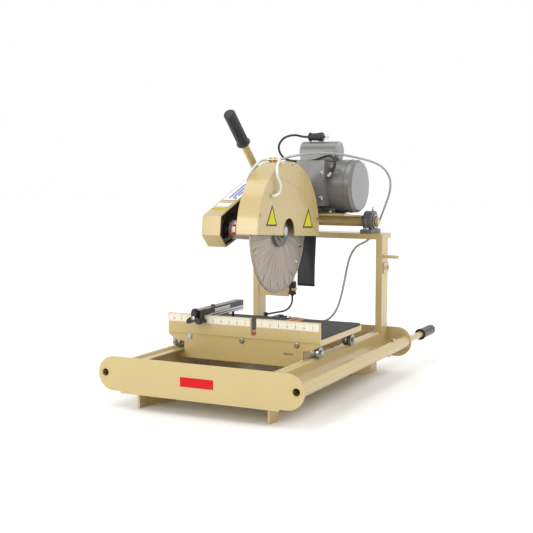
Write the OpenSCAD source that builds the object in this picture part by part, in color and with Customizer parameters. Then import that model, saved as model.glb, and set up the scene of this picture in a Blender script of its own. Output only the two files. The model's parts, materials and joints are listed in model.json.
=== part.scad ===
// Electric masonry saw: a floor frame with a rolling cart, and a cutting head that swings on a pivot shaft.
// The origin is on the floor under the middle of the machine. +X is the operator's right, +Y points to the
// rear.

/* [Frame] */
// Length from the front plate to the ends of the rear lift grips
overall_l = 1085; // [1080:1:1095]
// Width of the end plates
plate_w = 604; // [600:1:610]
// Height of the top edge of the end plates
plate_top = 139.4; // [138:0.2:141]
// Distance between the outer faces of the end plates
frame_l = 815; // [812:1:818]
// Height of the cart rails
rail_top = 126.5; // [126:0.1:127]
// Outer diameter of the carry tubes
tube_d = 36; // [34:1:38]
// Diameter of the lift bars
bar_d = 20; // [19:0.5:20]
// Height of the top of the gantry
gantry_top = 433.6; // [430:0.2:437]

/* [Cart] */
// Depth of the cart deck
deck_l = 304; // [295:1:310]
// Width of the cart deck and of the fence
deck_w = 471; // [466:1:474]
// Height of the deck plate's upper face
deck_top = 180; // [179:0.5:181]
// Height of the top of the fence
fence_top = 227; // [222:1:229]
// Diameter of the cart wheels
wheel_d = 33; // [32:0.5:34]

/* [Cutting head] */
// Angle by which the raised head leans back
head_tilt = 4; // [3:0.5:5]
// Diameter of the pivot shaft
pivot_d = 25; // [24:0.5:25]
// Diameter of the blade
blade_d = 356; // [350:1:358]
// Outer radius of the blade guard
guard_r = 204; // [202:1:206]
// Width of the blade guard
guard_w = 64; // [60:1:66]
// Diameter of the spindle housing
housing_d = 56; // [54:1:58]
// Diameter of the motor housing
motor_d = 163; // [160:1:164]
// Radius of the motor pulley
motor_pulley_r = 50; // [48:1:51]
// Radius of the arbor pulley
arbor_pulley_r = 30; // [28:1:31]

/* [Hidden] */
$fn = 64;

tan_paint = [0.85, 0.76, 0.55];
steel = [0.72, 0.72, 0.72];
dark_gray = [0.45, 0.45, 0.44];
black = [0.12, 0.12, 0.12];
white = [0.92, 0.92, 0.92];
hose_gray = [0.78, 0.78, 0.76];

// End plates: round ends, and a middle section that hangs a little lower
plate_t = 6;
plate_r = 46;
plate_mid_w = 466;
plate_bottom = 42.4;
tube_x = 280.5;
tube_z = 94.9;
slide_fit = 0.08;
tube_wall = 3;

// Rails: an angle with its flange turned inwards and a ridge for the wheels
rail_x = 223;
rail_flange = 35;
rail_t = 4;
rail_bottom = 54;
wheel_x = 215;
ridge_h = 5;
ridge_end_y = 745;
pan_t = 3;

// Gantry
post_w = 20;
post_y = 753;
post_l = 53;
cross_l = 86;
cross_h = 17;
cross_t = 4;

// Pivot
pivot_y = 794;
block_h = 36.5;
pivot_z = gantry_top + block_h;
block_x = 168.5;
block_w = 37;
block_base_l = 84;
block_base_t = 12;

// Cart
fence_y = 247;
fence_t = 8;
seam_z = 171.4;
deck_t = 4;
mat_t = 7;
slot_x = 37;
slot_w = 16.6;
insert_w = 46;
axle_z = rail_top + wheel_d / 2 + 0.5;
axle_y = [272, 503];
wheel_w = 24;
groove_h = 4.95;

// Head, measured from the pivot axis along the level head
arbor_y = -391;
arbor_z = -39;
blade_x = 38;
guard_y = -385;
guard_z = -46;
guard_floor = 5;
guard_x = 72;
sheet_t = 3;
plate_low_z = 12.6;
head_plate_t = 5;
motor_y = -76;
motor_z = plate_low_z + head_plate_t + 87.5;
belt_x = -140;
belt_left_x = -170;
belt_right_x = -110;
beam_x = -62;
run_fit = 0.05;

// Water and power lines
hose_d = 7;
spray_d = 8;
motor_cord_d = 7;
pump_cord_d = 6;

module at_frame() translate([0, -overall_l / 2, 0]) children();
module at_head() at_frame() translate([0, pivot_y, pivot_z]) rotate([-head_tilt, 0, 0]) children();
module both_sides() {
    children();
    mirror([1, 0, 0]) children();
}
// A profile drawn in X and Z, extruded from y0 towards the rear
module along_y(y0, length) translate([0, y0 + length, 0]) rotate([90, 0, 0]) linear_extrude(length)
    children();
// A profile drawn in Y and Z, extruded from x0 towards +X
module along_x(x0, length) translate([x0, 0, 0]) rotate([90, 0, 90]) linear_extrude(length) children();
// A cylinder along X from x0
module rod_x(x0, length, r, y = 0, z = 0) translate([x0, y, z]) rotate([0, 90, 0]) cylinder(h = length,
    r = r);
// A cylinder along Y from y0
module rod_y(y0, length, r, x = 0, z = 0) translate([x, y0, z]) rotate([-90, 0, 0]) cylinder(h = length,
    r = r);
// A box from one corner to the opposite one
module box(a, b) translate(a) cube(b - a);

// ---- Swept tubes along hand-placed routes ----
function hermite(p0, p1, p2, p3, t) = 0.5 * (2 * p1 + (p2 - p0) * t + (2 * p0 - 5 * p1 + 4 * p2 - p3) * t * t
    + (3 * p1 - p0 - 3 * p2 + p3) * t * t * t);
function at(points, i) = points[max(0, min(len(points) - 1, i))];
function smooth(points, steps) = [for (i = [0:len(points) - 2]) for (s = [0:steps - 1])
    hermite(at(points, i - 1), points[i], points[i + 1], at(points, i + 2), s / steps), points[len(points)
        - 1]];
function unit(v) = v / norm(v);
function tangent(path, i) = unit(at(path, i + 1) - at(path, i - 1));
function turned(n, t) = unit(n - (n * t) * t);
function frames(path, i, n) = i >= len(path) ? [] :
    let (m = turned(n, tangent(path, i))) concat([m], frames(path, i + 1, m));
module sweep(path, r, start_normal = [0, 0, 1], sides = 8) {
    normals = frames(path, 0, start_normal);
    rings = [for (i = [0:len(path) - 1]) let (t = tangent(path, i), b = cross(t, normals[i]))
        for (k = [0:sides - 1]) path[i] + r * (cos(360 * k / sides) * normals[i] + sin(360 * k / sides) * b)];
    last = (len(path) - 1) * sides;
    walls = [for (i = [0:len(path) - 2]) for (k = [0:sides - 1])
        [i * sides + k, (i + 1) * sides + k, (i + 1) * sides + (k + 1) % sides, i * sides + (k + 1) % sides]];
    ends = [[for (k = [0:sides - 1]) k], [for (k = [sides - 1:-1:0]) last + k]];
    polyhedron(points = rings, faces = concat(walls, ends), convexity = 8);
}

// Routes from the front plate's face and the floor, in round numbers
pump_cord_route = [[-80, 750, 226], [-80, 750, 216], [-81, 750, 206], [-84, 750, 197], [-89, 749, 189],
    [-96, 749, 182], [-104, 748, 177], [-112, 747.5, 174], [-120, 747, 172], [-128, 746, 170.5],
    [-135, 745, 169], [-142, 744, 167.5], [-148, 742.5, 166], [-153, 741, 165], [-158, 740, 164],
    [-162.5, 739, 163]];
lower_hose_route = [[-91.8, 735, 157], [-60, 733, 157], [-24, 725, 156], [10, 717, 153],
    [42, 711, 156], [70, 710, 170], [90, 716, 200], [97, 734, 240], [98, 756, 282], [97, 780, 322],
    [98, 804, 356], [104, 830, 381], [118, 847, 394], [132, 855, 402], [142, 856, 411],
    [150, 856, 420]];
upper_hose_route = [[150.2, 856, 420.3], [158, 856, 430], [172, 855, 458], [186, 851, 490],
    [202, 842, 524], [218, 830, 560], [225, 816, 594], [219, 802, 622], [202, 786, 643],
    [178, 762, 657], [151, 728, 667], [123, 690, 675], [94, 654, 680], [65, 620, 681], [40, 572, 677],
    [25, 510, 670], [23, 455, 662.5], [24, 425, 661], [24, 408.1, 661]];
left_spray_route = [[16.8, 394, 661], [9, 393.5, 661], [0, 386, 659.5], [-6, 370, 655], [-7, 348, 645],
    [-7, 324, 630], [-7, 302, 614], [-6, 289, 602], [-1, 281, 596], [7, 280, 595]];
right_spray_route = [[31.4, 394, 661], [39, 393.6, 661], [46.5, 388.5, 660.8], [54, 377, 659.3],
    [61, 358, 656], [68, 337, 649.5], [75, 317, 640.5], [80.5, 305, 628.5], [81.5, 307, 614],
    [82, 315, 602], [82, 322, 590], [82, 321, 578], [82, 312, 568.5], [82, 299, 564], [80, 288, 562.4],
    [73.6, 285.8, 562]];
motor_cord_route = [[101.5, 637, 624.7], [107, 637, 632], [111, 639, 645], [109, 643, 659],
    [99, 650, 669], [82, 658, 673], [58, 667, 668], [32, 677, 661], [4, 682, 657], [-26, 683, 657],
    [-56, 683, 659], [-82, 686, 669], [-99, 692, 689], [-102, 700, 712], [-87, 711, 732],
    [-60, 722, 738.5], [-36, 727, 734], [-16.2, 727, 732.3]];

// ---- Frame ----
module plate_outline() {
    difference() {
        union() {
            for (s = [-1, 1]) translate([s * (plate_w / 2 - plate_r), plate_top - plate_r]) circle(plate_r);
            translate([plate_r - plate_w / 2, plate_top - 2 * plate_r]) square([plate_w - 2 * plate_r,
                2 * plate_r]);
            translate([-plate_mid_w / 2, plate_bottom]) square([plate_mid_w, plate_r]);
        }
        for (s = [-1, 1]) translate([s * tube_x, tube_z]) circle(bar_d / 2 + slide_fit);
    }
}
module front_plate() color(tan_paint) at_frame() along_y(0, plate_t) plate_outline();
module rear_plate() color(tan_paint) at_frame() along_y(frame_l - plate_t, plate_t) plate_outline();

module rails() color(tan_paint) at_frame() both_sides() {
    along_y(plate_t, frame_l - 2 * plate_t) polygon([[rail_x - rail_flange, rail_top - rail_t],
        [rail_x - rail_t, rail_top - rail_t], [rail_x - rail_t, rail_bottom], [rail_x, rail_bottom],
        [rail_x, rail_top], [rail_x - rail_flange, rail_top]]);
    along_y(plate_t, ridge_end_y - plate_t)
        polygon([[wheel_x - ridge_h, rail_top], [wheel_x + ridge_h, rail_top], [wheel_x,
            rail_top + ridge_h]]);
}

module pan() color(tan_paint) at_frame()
    box([rail_t - rail_x, plate_t, rail_bottom], [rail_x - rail_t, frame_l - plate_t, rail_bottom + pan_t]);

module carry_tubes() color(tan_paint) at_frame() both_sides() difference() {
    rod_y(plate_t, frame_l - 2 * plate_t, tube_d / 2, tube_x, tube_z);
    rod_y(plate_t - 1, frame_l, tube_d / 2 - tube_wall, tube_x, tube_z);
    translate([tube_x, screw_y, tube_z]) cylinder(h = tube_d, r = screw_r + slide_fit);
}
screw_y = 700;
screw_r = 4;

// Each foot runs along the rail and then bends inwards
foot_x = 196;
foot_t = 6;
foot_y = 26;
foot_straight = 52;
foot_bent = 82;
foot_bend = 26.6;
module foot() linear_extrude(rail_bottom) {
    translate([foot_x - foot_t, foot_y]) square([foot_t, foot_straight + 1]);
    translate([foot_x, foot_y + foot_straight]) rotate(foot_bend) translate([-foot_t, 0]) square([foot_t,
        foot_bent]);
}
module feet() color(tan_paint) at_frame() both_sides() {
    foot();
    translate([0, frame_l, 0]) mirror([0, 1, 0]) foot();
}

module gantry() color(tan_paint) at_frame() {
    both_sides() difference() {
        box([rail_x - post_w, post_y, rail_top], [rail_x, post_y + post_l, gantry_top - 1]);
        box([rail_x - post_w + 2.5, post_y + 2.5, rail_top - 1], [rail_x - 2.5, post_y + post_l - 2.5,
            gantry_top - 20]);
    }
    difference() {
        box([-rail_x + 2, post_y, gantry_top - cross_h], [rail_x - 2, post_y + cross_l, gantry_top]);
        box([post_w - rail_x, post_y + cross_t, 0], [rail_x - post_w, post_y + cross_l - cross_t,
            gantry_top - cross_t]);
        block_bolts_at() translate([0, 0, -2 * block_base_t]) cylinder(h = 4 * block_base_t,
            r = bolt_r + 0.3);
    }
}

// Pillow blocks: a cast foot, a round body and a bearing insert
bolt_r = 4;
bolt_span = 35;
insert_r = 22;
module block_bolts_at() for (s = [-1, 1], t = [-1, 1])
    translate([s * block_x, pivot_y + t * bolt_span, gantry_top]) children();
module pillow_blocks() color(dark_gray) at_frame() both_sides() {
    difference() {
        union() {
            box([block_x - block_w / 2, pivot_y - block_base_l / 2, gantry_top],
                [block_x + block_w / 2, pivot_y + block_base_l / 2, gantry_top + block_base_t]);
            box([block_x - 14, pivot_y - 24, gantry_top + block_base_t],
                [block_x + 14, pivot_y + 24, pivot_z]);
            rod_x(block_x - 14, 28, 33, pivot_y, pivot_z);
            translate([block_x + 4, pivot_y + 10, pivot_z + 28]) cylinder(h = 9, r = 2.5);
        }
        rod_x(block_x - 15, 30, insert_r, pivot_y, pivot_z);
        for (t = [-1, 1]) translate([block_x, pivot_y + t * bolt_span, 0]) cylinder(h = gantry_top * 2,
            r = bolt_r + 0.3);
        for (t = [-1, 1]) translate([block_x, pivot_y + t * bolt_span, gantry_top + block_base_t])
            cylinder(h = 14, r = 8.5);
    }
    difference() {
        rod_x(block_x - 17, 34, insert_r - 0.02, pivot_y, pivot_z);
        rod_x(block_x - 18, 36, pivot_d / 2 + run_fit, pivot_y, pivot_z);
    }
}

module hex_bolt(head_r, head_h, shank_r, shank_l) {
    cylinder(h = head_h, r = head_r, $fn = 6);
    translate([0, 0, -shank_l]) cylinder(h = shank_l + 0.5, r = shank_r);
}
module frame_bolts() color(steel) at_frame() {
    block_bolts_at() translate([0, 0, block_base_t]) hex_bolt(7.5, 6, bolt_r, 22);
    both_sides() translate([tube_x, screw_y, tube_z + tube_d / 2]) hex_bolt(7, 7, screw_r, 6);
    for (y = bracket_bolt_y) translate([rail_x + bracket_t, y, bracket_z + bracket_h / 2])
        rotate([0, 90, 0]) hex_bolt(5, 4, 2.5, 3);
}

// Fittings on the gantry: storage peg, bracket plate, plug holder and hose clip
bracket_t = 4;
bracket_z = 312;
bracket_h = 32;
bracket_y = [762, 804];
bracket_bolt_y = [772, 794];
peg_l = 50;
plug_x = -80;
plug_y = 750;
plug_r = 13;
clip_x = 145;
clip_y = 856;
clip_z = 414.4;
clip_lean = 41;
module post_brackets() color(tan_paint) at_frame() {
    rod_x(rail_x, peg_l, 5, post_y + 8, 364);
    difference() {
        box([rail_x, bracket_y[0], bracket_z], [rail_x + bracket_t, bracket_y[1], bracket_z + bracket_h]);
        for (y = bracket_bolt_y) rod_x(rail_x - 1, bracket_t + 2, 2.8, y, bracket_z + bracket_h / 2);
    }
    box([post_w - rail_x, plug_y + 5, 222], [plug_x - plug_r - 1, plug_y + 8, 256]);
    box([post_w - rail_x, plug_y + 5, 222], [post_w - rail_x + 3, plug_y + 40, 256]);
    translate([plug_x, plug_y, 244]) difference() {
        cylinder(h = 8, r = plug_r + 2.4);
        translate([0, 0, -1]) cylinder(h = 18, r = plug_r + 0.2);
        translate([0, -plug_r - 6, -1]) rotate(45) cube([20, 20, 18]);
    }
    difference() {
        union() {
            translate([clip_x, clip_y, clip_z]) rotate([0, clip_lean, 0]) cylinder(h = 9,
                r = hose_d / 2 + 2.4, center = true);
            box([clip_x - 5, post_y + cross_l, clip_z - 1], [clip_x + 5, clip_y - hose_d / 2 - 1.2,
                clip_z + 1]);
        }
        translate([clip_x, clip_y, clip_z]) rotate([0, clip_lean, 0]) cylinder(h = 14,
            r = hose_d / 2 + 0.8, center = true);
    }
}

// Submersible pump in the pan, behind the cart
pump_x = [-188, -98];
pump_y = [698, 776];
pump_top = 150;
module pump_body() color(dark_gray) at_frame() {
    box([pump_x[0], pump_y[0], rail_bottom + pan_t], [pump_x[1], pump_y[1], pump_top - 6]);
    box([pump_x[0] + 5, pump_y[0] + 5, pump_top - 7], [pump_x[1] - 5, pump_y[1] - 5, pump_top]);
    translate([-112, 735, pump_top - 1]) cylinder(h = 15, r = 8);
    rod_x(-112, 20, 5.5, 735, pump_top + 7);
    translate([-170, 738, pump_top - 1]) cylinder(h = 19, r = 7);
}
module pump_cord() color(black) at_frame() sweep(smooth(pump_cord_route, 2), pump_cord_d / 2, [1, 0, 0]);
module pump_plug() color(black) at_frame() translate([plug_x, plug_y, 0]) {
    translate([0, 0, 226]) cylinder(h = 14, r1 = 5, r2 = plug_r);
    translate([0, 0, 240]) cylinder(h = 32, r = plug_r);
    for (s = [-1, 1]) box([s * 6 - 1, -3, 271], [s * 6 + 1, 3, 288]);
    translate([0, 6, 271]) cylinder(h = 18, r = 2.2);
}
module lower_hose() color(hose_gray) at_frame() sweep(smooth(lower_hose_route, 2), hose_d / 2, [1, 0, 0]);

// ---- Cutting head ----
module pivot_shaft() color(tan_paint) at_head() rod_x(-195, 390, pivot_d / 2);

plate_front = -168;
sleeve_l = 290;
sleeve_r = 17;
beam_w = 44;
beam_h = 48;
module head_plate() color(tan_paint) at_head() {
    difference() {
        box([belt_right_x, plate_front, plate_low_z], [148, 22, plate_low_z + head_plate_t]);
        motor_bolts_at() translate([0, 0, -20]) cylinder(h = 40, r = 4.5);
    }
    difference() {
        box([beam_x - beam_w / 2, arbor_y + 8, plate_low_z - beam_h], [beam_x + beam_w / 2, -54,
            plate_low_z]);
        rod_x(beam_x - beam_w, 2 * beam_w, housing_d / 2, arbor_y, arbor_z);
    }
    difference() {
        union() {
            rod_x(-sleeve_l / 2, sleeve_l, sleeve_r);
            for (x = [-104, -30, 60, 130]) box([x, -13, 0], [x + 6, 13, plate_low_z + 1]);
        }
        rod_x(-sleeve_l, 2 * sleeve_l, pivot_d / 2 + 0.02);
    }
}

// Spindle housing: a tube with a bearing pressed in at each end
spindle_r = 12.5;
bearing_r = 24;
bearing_w = 15;
housing_x = [-108, 8];
module spindle_housing() color(steel) at_head() {
    difference() {
        rod_x(housing_x[0], housing_x[1] - housing_x[0], housing_d / 2, arbor_y, arbor_z);
        rod_x(housing_x[0] - 1, 200, spindle_r + 4, arbor_y, arbor_z);
        for (x = bearing_at) rod_x(x - 0.5, bearing_w + 1, bearing_r, arbor_y, arbor_z);
    }
    for (x = bearing_at) difference() {
        rod_x(x, bearing_w, bearing_r - 0.02, arbor_y, arbor_z);
        rod_x(x - 1, bearing_w + 2, spindle_r + run_fit, arbor_y, arbor_z);
    }
}
bearing_at = [housing_x[0], housing_x[1] - bearing_w];

// Guard: a half drum; the right wall is a separate bolted cover with an arched opening over the arbor
guard_left = guard_x - guard_w;
module half_drum(r) intersection() {
    translate([guard_y, guard_z]) circle(r, $fn = 128);
    translate([guard_y - r, guard_z - guard_floor]) square([2 * r, 2 * r]);
}
module guard_bolts_at(x) for (a = [14, 89, 166])
    translate([x, guard_y + (guard_r - 9) * cos(a), guard_z + (guard_r - 9) * sin(a)]) rotate([0, 90, 0])
        children();
module blade_guard() color(tan_paint) at_head() {
    difference() {
        along_x(guard_left, guard_w - sheet_t) half_drum(guard_r);
        along_x(guard_left + sheet_t, guard_w) translate([0, -1]) half_drum_inside();
        rod_x(guard_left - 1, sheet_t + 2, 20, arbor_y, arbor_z);
    }
    difference() {
        guard_bolts_at(guard_x - sheet_t - 10) cylinder(h = 10, r = 7.2);
        guard_bolts_at(guard_x - sheet_t - 11) cylinder(h = 12, r = 3.2);
    }
    box([guard_left + 1, flap_y, flap_z + 4], [guard_x - sheet_t, flap_y + 6, flap_z + 22]);
}
module half_drum_inside() intersection() {
    translate([guard_y, guard_z + 1]) circle(guard_r - sheet_t, $fn = 128);
    translate([guard_y - guard_r, guard_z - guard_floor - 1]) square([2 * guard_r, 2 * guard_r]);
}
arch_r = 37;
module guard_side_cover() color(tan_paint) at_head() difference() {
    along_x(guard_x - sheet_t, sheet_t) difference() {
        half_drum(guard_r);
        translate([arbor_y, arbor_z]) circle(arch_r);
        translate([arbor_y - arch_r, arbor_z - 2 * arch_r]) square([2 * arch_r, 2 * arch_r]);
    }
    guard_bolts_at(guard_x - sheet_t - 1) cylinder(h = sheet_t + 2, r = 3.2);
}

// Rubber flap behind the blade, clamped by a steel strip to a tab of the guard
flap_y = guard_y + guard_r - 8;
flap_z = guard_z - guard_floor;
flap_h = 152;
module splash_flap() color(black) at_head()
    box([guard_left + sheet_t + 1, flap_y - 4, flap_z - flap_h], [guard_x - sheet_t - 1, flap_y,
        flap_z + 26]);
module flap_strip() color(steel) at_head() {
    box([guard_left + sheet_t + 3, flap_y - 6, flap_z + 4], [guard_x - sheet_t - 3, flap_y - 4, flap_z + 22]);
    for (x = [guard_left + 14, guard_x - 14]) translate([x, flap_y - 6, flap_z + 13])
        rotate([90, 0, 0]) cylinder(h = 3, r = 5, $fn = 6);
}

// Belt guard: its top edge runs parallel to the belt, its lower edge opens out towards the motor
belt_run = [motor_y - arbor_y, motor_z - arbor_z];
belt_len = norm(belt_run);
belt_angle = atan2(belt_run[1], belt_run[0]);
function on_belt(a, n) = [arbor_y, arbor_z] + a * [cos(belt_angle), sin(belt_angle)]
    + n * [-sin(belt_angle), cos(belt_angle)];
belt_outline = [on_belt(-76, 15), on_belt(-50, 64), on_belt(belt_len + 34, 64), on_belt(belt_len + 66, 30),
    on_belt(belt_len + 66, -32), on_belt(belt_len + 34, -66), on_belt(-54, -32)];
module belt_guard() color(tan_paint) at_head() difference() {
    along_x(belt_left_x, belt_right_x - belt_left_x) polygon(belt_outline);
    along_x(belt_left_x + sheet_t, belt_right_x - belt_left_x) offset(delta = -sheet_t) polygon(belt_outline);
    belt_bolts_at() translate([0, 0, -4]) cylinder(h = 8, r = 3.2);
}
module belt_bolts_at() for (a = [78, belt_len - 20]) let (p = on_belt(a, 64))
    translate([belt_x + 12, p[0], p[1]]) rotate([belt_angle, 0, 0]) children();
backplate_x = -122;
module belt_backplate() color(black) at_head() difference() {
    along_x(backplate_x, sheet_t) offset(delta = -sheet_t) polygon(belt_outline);
    rod_x(backplate_x - 1, sheet_t + 2, spindle_r + 4, arbor_y, arbor_z);
    rod_x(backplate_x - 1, sheet_t + 2, shaft_r + 4, motor_y, motor_z);
}

// Belt: two straight runs and the wraps round both pulleys, as one loop
belt_w = 12;
belt_t = 7;
function arc(x, r, a0, a1) = [for (i = [0:24]) let (a = a0 + (a1 - a0) * i / 24) [x + r * cos(a),
    r * sin(a)]];
module belt_loop(grow) {
    open = asin((motor_pulley_r - arbor_pulley_r) / belt_len);
    translate([arbor_y, arbor_z]) rotate(belt_angle)
        polygon(concat(arc(0, arbor_pulley_r + grow, 90 + open, 270 - open),
            arc(belt_len, motor_pulley_r + grow, -90 - open, 90 + open)));
}
module drive_belt() color(black) at_head() along_x(belt_x - belt_w / 2, belt_w) difference() {
    belt_loop(0);
    belt_loop(-belt_t);
}

module head_bolts() color(steel) at_head() {
    guard_bolts_at(guard_x) hex_bolt(4, 1.5, 3, 11);
    motor_bolts_at() translate([0, 0, foot_h]) hex_bolt(7, 6, 4, foot_h + head_plate_t);
    belt_bolts_at() hex_bolt(6, 5, 3, 3);
    translate([-30, plate_front + 20, plate_low_z + head_plate_t]) cylinder(h = 5, r = 7, $fn = 6);
}

// Motor: shell with cast ribs, foot plate, end bells, start capacitor cover and conduit box
motor_x = [-70, 134];
bell_l = 26;
shaft_r = 8;
foot_h = 4;
foot_w = 60;
foot_x0 = 10;
module motor_bolts_at() for (x = [foot_x0 + 6, foot_x0 + 76], y = [motor_y - foot_w, motor_y + foot_w])
    translate([x, y, plate_low_z + head_plate_t]) children();
module motor_housing() color(dark_gray) at_head() {
    difference() {
        rod_x(motor_x[0], motor_x[1] - motor_x[0], motor_d / 2, motor_y, motor_z);
        rod_x(motor_x[0] - 1, motor_x[1] - motor_x[0] + 2, motor_d / 2 - 6, motor_y, motor_z);
    }
    difference() {
        box([foot_x0 - 8, motor_y - foot_w - 12, plate_low_z + head_plate_t],
            [foot_x0 + 90, motor_y + foot_w + 12, plate_low_z + head_plate_t + foot_h]);
        motor_bolts_at() translate([0, 0, -1]) cylinder(h = 10, r = 4.5);
    }
    for (s = [-1, 1]) box([foot_x0 - 4, motor_y + s * 40 - 3, plate_low_z + head_plate_t + 1],
        [foot_x0 + 86, motor_y + s * 40 + 3, motor_z - 68]);
}
module bell(x, s) translate([x, motor_y, motor_z]) rotate([0, s * 90, 0]) rotate_extrude()
    polygon([[0, 0], [motor_d / 2 - 1, 0], [motor_d / 2 - 1, bell_l - 8], [motor_d / 2 - 7, bell_l], [0,
        bell_l]]);
shaft_end = motor_x[1] + bell_l - 4;
module motor_bells() color([0.62, 0.62, 0.62]) at_head() difference() {
    union() {
        bell(motor_x[0], -1);
        bell(motor_x[1], 1);
    }
    rod_x(belt_x, shaft_end + 0.5 - belt_x, shaft_r + run_fit, motor_y, motor_z);
}
cap_x = [-27, 88];
cap_r = 31;
cap_y = motor_y - 6;
cap_z = motor_z + motor_d / 2 + cap_r - 6;
module capacitor_cover() color(dark_gray) at_head() difference() {
    union() {
        rod_x(cap_x[0], cap_x[1] - cap_x[0], cap_r, cap_y, cap_z);
        box([cap_x[0], cap_y - cap_r, cap_z - cap_r], [cap_x[1], cap_y + cap_r, cap_z]);
    }
    rod_x(cap_x[0] - 1, cap_x[1] - cap_x[0] + 2, motor_d / 2 + 0.2, motor_y, motor_z);
}
box_x = [-4, 84];
box_z = [41, 175];
box_y = [motor_y - motor_d / 2 - 30, motor_y - 62];
module conduit_box() color(dark_gray) at_head() {
    difference() {
        box([box_x[0], box_y[0] + 3, box_z[0]], [box_x[1], box_y[1], box_z[1]]);
        rod_x(box_x[0] - 1, box_x[1] - box_x[0] + 2, motor_d / 2 + 0.2, motor_y, motor_z);
    }
    box([box_x[0] - 2, box_y[0], box_z[0] - 2], [box_x[1] + 2, box_y[0] + 3, box_z[1] + 2]);
    for (z = [box_z[0] + 22, box_z[1] - 38]) translate([box_x[1] - 6, box_y[0], z])
        rotate([90, 0, 0]) cylinder(h = 2.5, r = 4);
}
gland_at = [84, 637, 614];
module cord_gland() color(steel) at_frame() translate(gland_at) {
    rotate([0, 90, 0]) cylinder(h = 6, r = 9, $fn = 6);
    translate([7, 0, 0]) sphere(6.8);
    translate([7, 0, 0]) rotate([0, 45, 0]) cylinder(h = 14, r1 = 6, r2 = 5.4);
}

// Feed handle: a leaning tube welded to the beam, with a rubber grip
handle_foot = [beam_x, -186, plate_low_z - 4];
handle_angle = 50.8;
handle_l = 426;
grip_l = 114;
module along_handle() at_head() translate(handle_foot) rotate([handle_angle, 0, 0]) children();
module handle_tube() color(tan_paint) at_head() difference() {
    translate(handle_foot) rotate([handle_angle, 0, 0]) cylinder(h = handle_l, r = 11);
    box([-200, -400, -200], [200, 100, plate_low_z]);
}
module handle_grip() color(black) along_handle() difference() {
    union() {
        translate([0, 0, handle_l - grip_l + 8]) cylinder(h = grip_l, r = 17);
        translate([0, 0, handle_l - grip_l + 2]) cylinder(h = 6, r = 20);
    }
    translate([0, 0, handle_l - grip_l]) cylinder(h = grip_l + 1, r = 11);
}

// Water tee on top of the guard
tee_at = [24, 394, 661];
module water_tee() color([0.75, 0.6, 0.3]) at_frame() translate(tee_at) {
    rod_x(-7, 14, 5.3);
    rod_y(0, 14, 5.3);
    translate([0, 0, -5.6]) cylinder(h = 4, r = 4);
}
module left_spray_tube() color(white) at_frame() sweep(smooth(left_spray_route, 1), spray_d / 2);
module right_spray_tube() color(white) at_frame() sweep(smooth(right_spray_route, 1), spray_d / 2);
module upper_hose() color(hose_gray) at_frame() sweep(smooth(upper_hose_route, 2), hose_d / 2, [1, 0, 0]);
module motor_cord() color(black) at_frame() sweep(smooth(motor_cord_route, 1), motor_cord_d / 2);
motor_plug_at = [-16, 727, 732.3];
module motor_plug() color(black) at_frame() translate(motor_plug_at) rotate([0, 90, 0]) {
    cylinder(h = 18, r1 = 6, r2 = 14);
    translate([0, 0, 18]) cylinder(h = 34, r = 14);
    for (s = [-1, 1]) box([s * 7 - 1, -3, 51], [s * 7 + 1, 3, 70]);
    translate([0, 7, 51]) cylinder(h = 19, r = 2.4);
}

// ---- Spindle and rotor ----
blade_t = 3.2;
flange_r = 45;
flange_t = 8.4;
module spindle_shaft() color(steel) at_head() {
    rod_x(belt_x - 16, blade_x + 40 - belt_x, spindle_r, arbor_y, arbor_z);
}
module blade_flanges() color(dark_gray) at_head() for (x = [blade_x - blade_t / 2 - flange_t,
    blade_x + blade_t / 2])
    difference() {
        rod_x(x, flange_t, flange_r, arbor_y, arbor_z);
        rod_x(x - 1, flange_t + 2, spindle_r, arbor_y, arbor_z);
    }
module arbor_nut() color(steel) at_head() difference() {
    translate([blade_x + blade_t / 2 + flange_t, arbor_y, arbor_z]) rotate([0, 90, 0]) cylinder(h = 12,
        r = 20, $fn = 6);
    rod_x(blade_x, 60, spindle_r, arbor_y, arbor_z);
}
gullets = 20;
gullet_w = 3;
gullet_l = 32;
module blade() color([0.62, 0.58, 0.53]) at_head() difference() {
    rod_x(blade_x - blade_t / 2, blade_t, blade_d / 2, arbor_y, arbor_z);
    rod_x(blade_x - blade_t, 2 * blade_t, spindle_r, arbor_y, arbor_z);
    for (i = [0:gullets - 1]) translate([blade_x, arbor_y, arbor_z]) rotate([i * 360 / gullets, 0, 0])
        translate([-blade_t, 0, blade_d / 2 - gullet_l]) rotate([24, 0, 0])
            box([0, -gullet_w / 2, 0], [2 * blade_t, gullet_w / 2, 2 * gullet_l]);
}
module pulley(r, bore, y, z) difference() {
    translate([belt_x - 11, y, z]) rotate([0, 90, 0]) rotate_extrude()
        polygon([[0, 0], [r + 3, 0], [r + 3, 3], [r - belt_t - 0.4, 4.6], [r - belt_t - 0.4, 17.4],
            [r + 3, 19],
            [r + 3, 22], [0, 22]]);
    rod_x(belt_x - 12, 24, bore, y, z);
}
module arbor_pulley() color(dark_gray) at_head() pulley(arbor_pulley_r, spindle_r, arbor_y, arbor_z);
module motor_rotor() color(steel) at_head() {
    rod_x(belt_x - 16, shaft_end - belt_x + 16, shaft_r, motor_y, motor_z);
    rod_x(motor_x[0] + 20, motor_x[1] - motor_x[0] - 40, motor_d / 2 - 30, motor_y, motor_z);
}
module motor_pulley() color(dark_gray) at_head() pulley(motor_pulley_r, shaft_r, motor_y, motor_z);

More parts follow.
